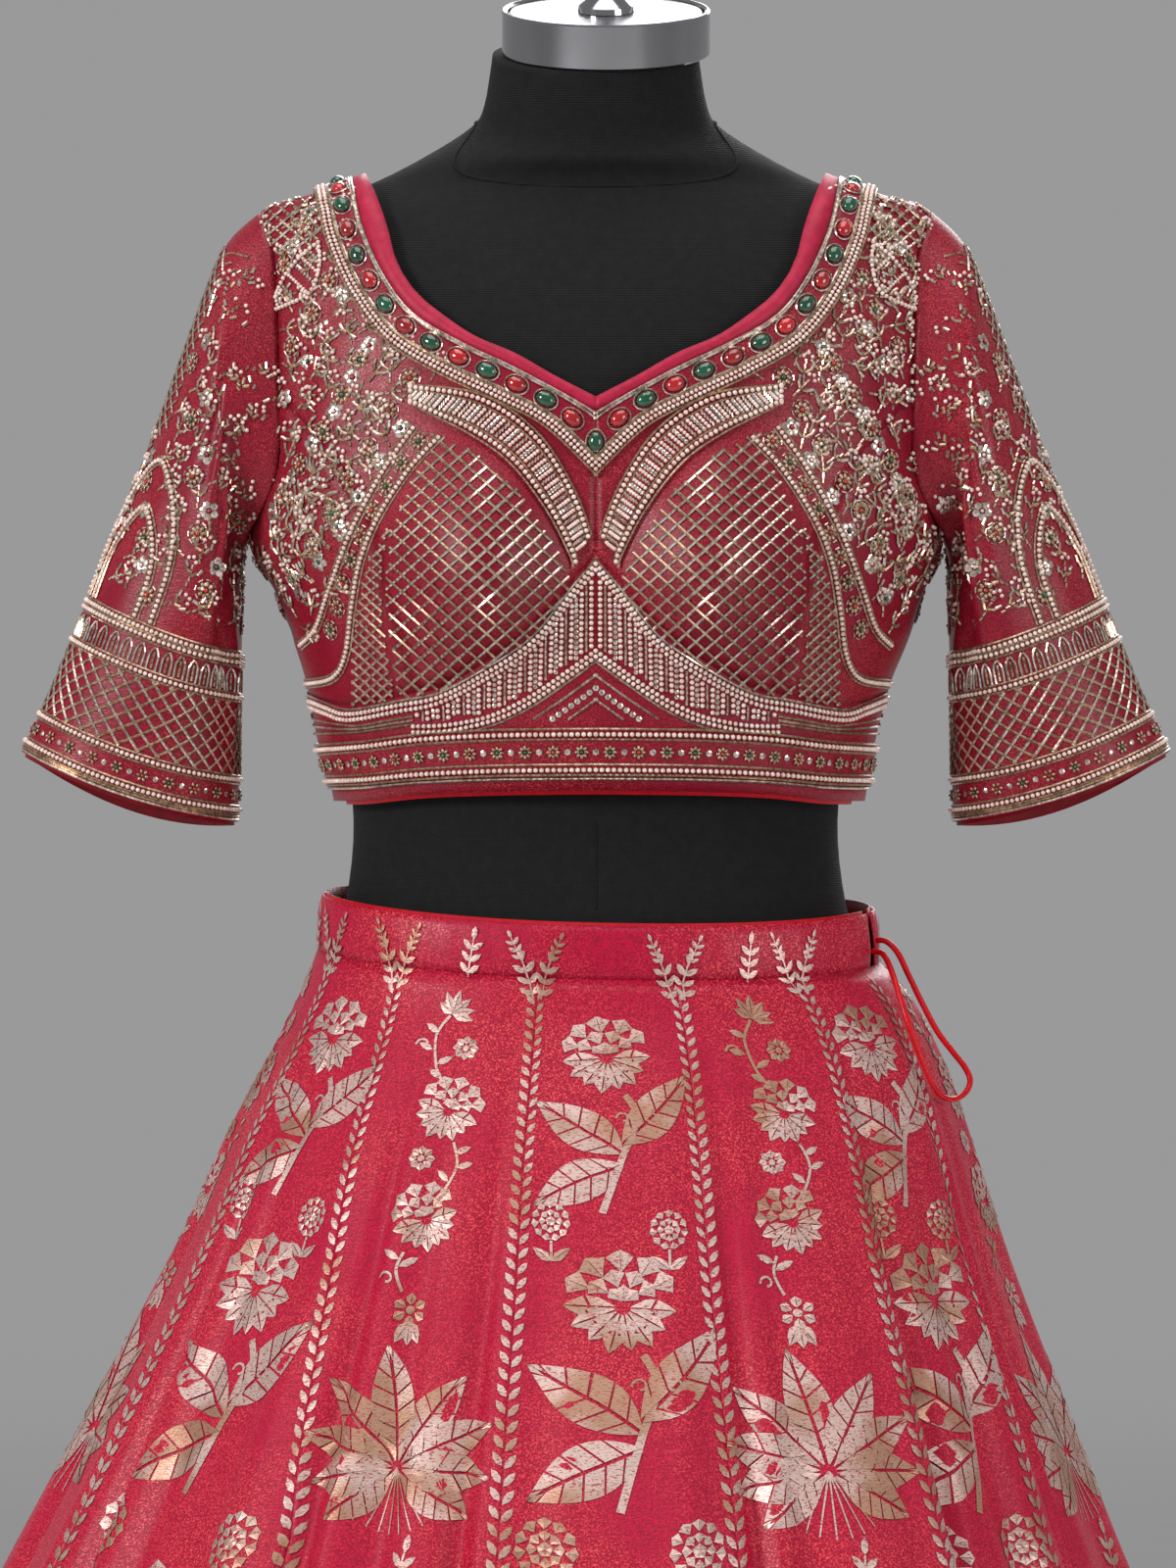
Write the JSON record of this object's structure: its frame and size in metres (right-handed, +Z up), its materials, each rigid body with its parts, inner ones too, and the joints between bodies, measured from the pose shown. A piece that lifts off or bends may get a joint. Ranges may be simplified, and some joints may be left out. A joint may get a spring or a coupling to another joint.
{
  "type": "lehenga choli on a limbless dress form",
  "caption": "Beaded cropped blouse with elbow sleeves and a flared panelled skirt with a drawstring, worn by a limbless dress form on a round-based stand.",
  "frame": {"origin": "centre of the underside of the stand's round base, on the floor", "axes": "+Z up along the stand, -Y to the garment's front, +X to the wearer's left"},
  "size_m": [1.2086, 1.1893, 1.5425],
  "materials": {
    "choli_tissue": "crimson tissue shot with copper",
    "lehenga_brocade": "crimson shot brocade with metallic woven motifs",
    "pearl_beading": "cloth thickly sewn with pearls, cut beads and stones",
    "plain_facing": "plain pink-red satin",
    "red_lining": "plain bright red lining",
    "satin_cord": "round satin cord",
    "black_jersey": "black ribbed jersey over a hard form",
    "polished_chrome": "polished",
    "cap_metal": "satin",
    "base_paint": "black semi-gloss"
  },
  "bodies": {
    "root": {"back_left": "choli_tissue", "back_right": "choli_tissue", "cup_left": "choli_tissue", "cup_right": "choli_tissue", "side_front_left": "choli_tissue", "side_front_right": "choli_tissue", "midriff_front": "choli_tissue", "sleeve_left": "choli_tissue", "sleeve_right": "choli_tissue", "kali_01": "lehenga_brocade", "kali_02": "lehenga_brocade", "kali_03": "lehenga_brocade", "kali_04": "lehenga_brocade", "kali_05": "lehenga_brocade", "kali_06": "lehenga_brocade", "kali_07": "lehenga_brocade", "kali_08": "lehenga_brocade", "kali_09": "lehenga_brocade", "kali_10": "lehenga_brocade", "kali_11": "lehenga_brocade", "kali_12": "lehenga_brocade", "waistband_front": "lehenga_brocade", "waistband_back": "lehenga_brocade", "neck_border_left": "pearl_beading", "neck_border_right": "pearl_beading", "pearl_arch_left": "pearl_beading", "pearl_arch_right": "pearl_beading", "hem_band_front": "pearl_beading", "hem_band_back_left": "pearl_beading", "hem_band_back_right": "pearl_beading", "neck_facing_left": "plain_facing", "neck_facing_right": "plain_facing", "choli_hem_lining": "red_lining", "cuff_lining_left": "red_lining", "cuff_lining_right": "red_lining", "waistband_lining_front": "red_lining", "waistband_lining_back": "red_lining", "drawstring": "satin_cord", "form_body": "black_jersey", "neck_ring": "polished_chrome", "finial": "polished_chrome", "stand_pole": "polished_chrome", "stand_collar": "polished_chrome", "neck_cap": "cap_metal", "stand_base": "base_paint"}
  },
  "joints": []
}
